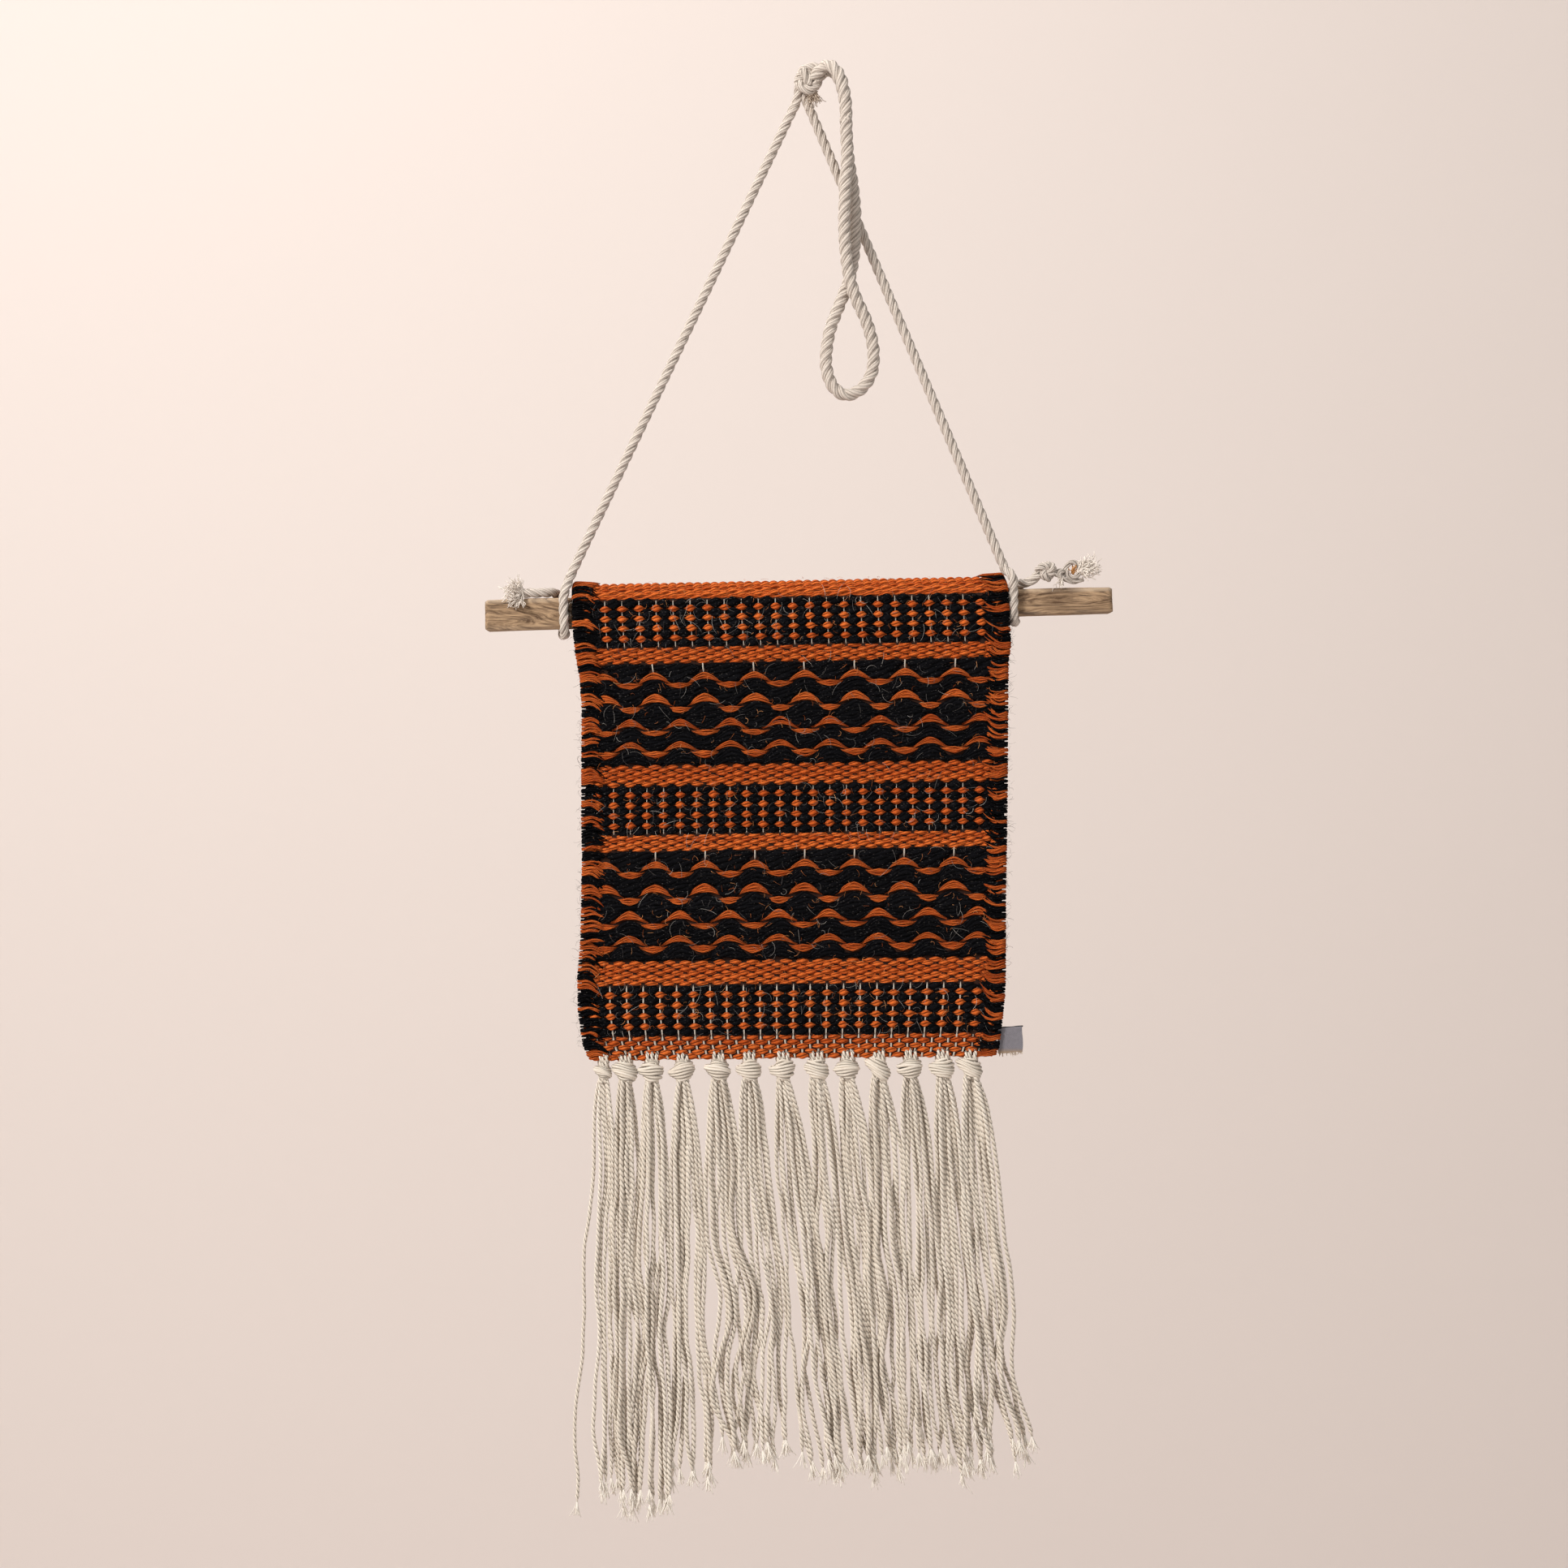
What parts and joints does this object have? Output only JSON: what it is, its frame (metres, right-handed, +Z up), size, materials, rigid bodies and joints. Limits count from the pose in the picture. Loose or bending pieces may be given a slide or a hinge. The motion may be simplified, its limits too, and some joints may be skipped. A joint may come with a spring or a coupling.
{
  "type": "tapestry wall hanging",
  "caption": "Small woven wool wall hanging folded over a wooden rod, hung from a knotted cotton cord, with a knotted fringe along its lower edge.",
  "frame": {"origin": "where the hanging cord rests on its nail, under the top knot", "axes": "+X to the right of someone facing the hanging, -Y towards them, +Z up; the wall is behind, at +Y"},
  "size_m": [0.3043, 0.0304, 0.6991],
  "materials": {
    "rod_wood": "bare sawn hardwood with dark grain streaks, worn pale along its edges",
    "cotton_cord": "three-strand twisted natural cotton cord",
    "rust_wool": "thick mottled burnt-orange wool weft over cotton warps",
    "black_wool": "thick near-black wool weft with stray pale hairs",
    "warp_cotton": "off-white two-ply twisted cotton warp ends",
    "hem_thread": "rust-coloured sewing thread",
    "label_cloth": "plain grey-lilac woven tab with frayed ends"
  },
  "bodies": {
    "cord": {"cord_left_leg": "cotton_cord", "cord_right_leg": "cotton_cord", "cord_top_knot": "cotton_cord", "cord_loop_arch": "cotton_cord"},
    "spare_loop": {"cord_spare_loop": "cotton_cord"},
    "rod": {"rod": "rod_wood", "cord_left_hitch": "cotton_cord", "cord_right_hitch": "cotton_cord", "cord_left_tuft": "cotton_cord", "cord_right_end_knot": "cotton_cord", "cord_right_tuft": "cotton_cord", "cloth_rod_pocket": "rust_wool", "pocket_left_wrap": "black_wool", "pocket_right_wrap": "black_wool", "hem_stitches": "hem_thread"},
    "panel": {"cloth_panel": "rust_wool", "panel_left_wrap": "black_wool", "panel_right_wrap": "black_wool", "fringe_knot_01": "warp_cotton", "fringe_knot_02": "warp_cotton", "fringe_knot_03": "warp_cotton", "fringe_knot_04": "warp_cotton", "fringe_knot_05": "warp_cotton", "fringe_knot_06": "warp_cotton", "fringe_knot_07": "warp_cotton", "fringe_knot_08": "warp_cotton", "fringe_knot_09": "warp_cotton", "fringe_knot_10": "warp_cotton", "fringe_knot_11": "warp_cotton", "fringe_knot_12": "warp_cotton", "fringe_knot_13": "warp_cotton"},
    "label": {"label": "label_cloth"},
    "tassel_01": {"tassel_01": "warp_cotton"},
    "tassel_02": {"tassel_02": "warp_cotton"},
    "tassel_03": {"tassel_03": "warp_cotton"},
    "tassel_04": {"tassel_04": "warp_cotton"},
    "tassel_05": {"tassel_05": "warp_cotton"},
    "tassel_06": {"tassel_06": "warp_cotton"},
    "tassel_07": {"tassel_07": "warp_cotton"},
    "tassel_08": {"tassel_08": "warp_cotton"},
    "tassel_09": {"tassel_09": "warp_cotton"},
    "tassel_10": {"tassel_10": "warp_cotton"},
    "tassel_11": {"tassel_11": "warp_cotton"},
    "tassel_12": {"tassel_12": "warp_cotton"},
    "tassel_13": {"tassel_13": "warp_cotton"}
  },
  "joints": [
    {"name": "loop_swing", "type": "hinge", "parent": "cord", "child": "spare_loop", "pos_m": [0.0205, -0.0118, -0.012], "axis": [0, -1, 0], "range_deg": [-30, 30]},
    {"name": "rod_swing", "type": "hinge", "parent": "cord", "child": "rod", "pos_m": [-0.00044, -0.0065, -0.2307], "axis": [-0.9997, 0, -0.0244], "range_deg": [0, 45]},
    {"name": "panel_fold", "type": "hinge", "parent": "rod", "child": "panel", "pos_m": [0, -0.0098, -0.29251], "axis": [-0.9997, 0, -0.0244], "range_deg": [0, 45]},
    {"name": "label_flip", "type": "hinge", "parent": "panel", "child": "label", "pos_m": [0.0986, -0.0098, -0.4585], "axis": [0, 0, -1], "range_deg": [-60, 80], "stiffness_Nm_per_rad": 0.0002},
    {"name": "tassel_01_swing", "type": "hinge", "parent": "panel", "child": "tassel_01", "pos_m": [-0.09687, -0.0098, -0.4826], "axis": [-1, 0, 0], "range_deg": [0, 45]},
    {"name": "tassel_02_swing", "type": "hinge", "parent": "panel", "child": "tassel_02", "pos_m": [-0.08595, -0.0098, -0.48247], "axis": [-1, 0, 0], "range_deg": [0, 45]},
    {"name": "tassel_03_swing", "type": "hinge", "parent": "panel", "child": "tassel_03", "pos_m": [-0.07318, -0.0098, -0.48233], "axis": [-1, 0, 0], "range_deg": [0, 45]},
    {"name": "tassel_04_swing", "type": "hinge", "parent": "panel", "child": "tassel_04", "pos_m": [-0.05876, -0.0098, -0.48217], "axis": [-1, 0, 0], "range_deg": [0, 45]},
    {"name": "tassel_05_swing", "type": "hinge", "parent": "panel", "child": "tassel_05", "pos_m": [-0.04125, -0.0098, -0.48197], "axis": [-1, 0, 0], "range_deg": [0, 45]},
    {"name": "tassel_06_swing", "type": "hinge", "parent": "panel", "child": "tassel_06", "pos_m": [-0.0258, -0.0098, -0.48179], "axis": [-1, 0, 0], "range_deg": [0, 45]},
    {"name": "tassel_07_swing", "type": "hinge", "parent": "panel", "child": "tassel_07", "pos_m": [-0.00973, -0.0098, -0.48161], "axis": [-1, 0, 0], "range_deg": [0, 45]},
    {"name": "tassel_08_swing", "type": "hinge", "parent": "panel", "child": "tassel_08", "pos_m": [0.00675, -0.0098, -0.48142], "axis": [-1, 0, 0], "range_deg": [0, 45]},
    {"name": "tassel_09_swing", "type": "hinge", "parent": "panel", "child": "tassel_09", "pos_m": [0.02158, -0.0098, -0.48125], "axis": [-1, 0, 0], "range_deg": [0, 45]},
    {"name": "tassel_10_swing", "type": "hinge", "parent": "panel", "child": "tassel_10", "pos_m": [0.03682, -0.0098, -0.48108], "axis": [-1, 0, 0], "range_deg": [0, 45]},
    {"name": "tassel_11_swing", "type": "hinge", "parent": "panel", "child": "tassel_11", "pos_m": [0.05207, -0.0098, -0.48091], "axis": [-1, 0, 0], "range_deg": [0, 45]},
    {"name": "tassel_12_swing", "type": "hinge", "parent": "panel", "child": "tassel_12", "pos_m": [0.0669, -0.0098, -0.48074], "axis": [-1, 0, 0], "range_deg": [0, 45]},
    {"name": "tassel_13_swing", "type": "hinge", "parent": "panel", "child": "tassel_13", "pos_m": [0.08132, -0.0098, -0.48058], "axis": [-1, 0, 0], "range_deg": [0, 45]}
  ]
}
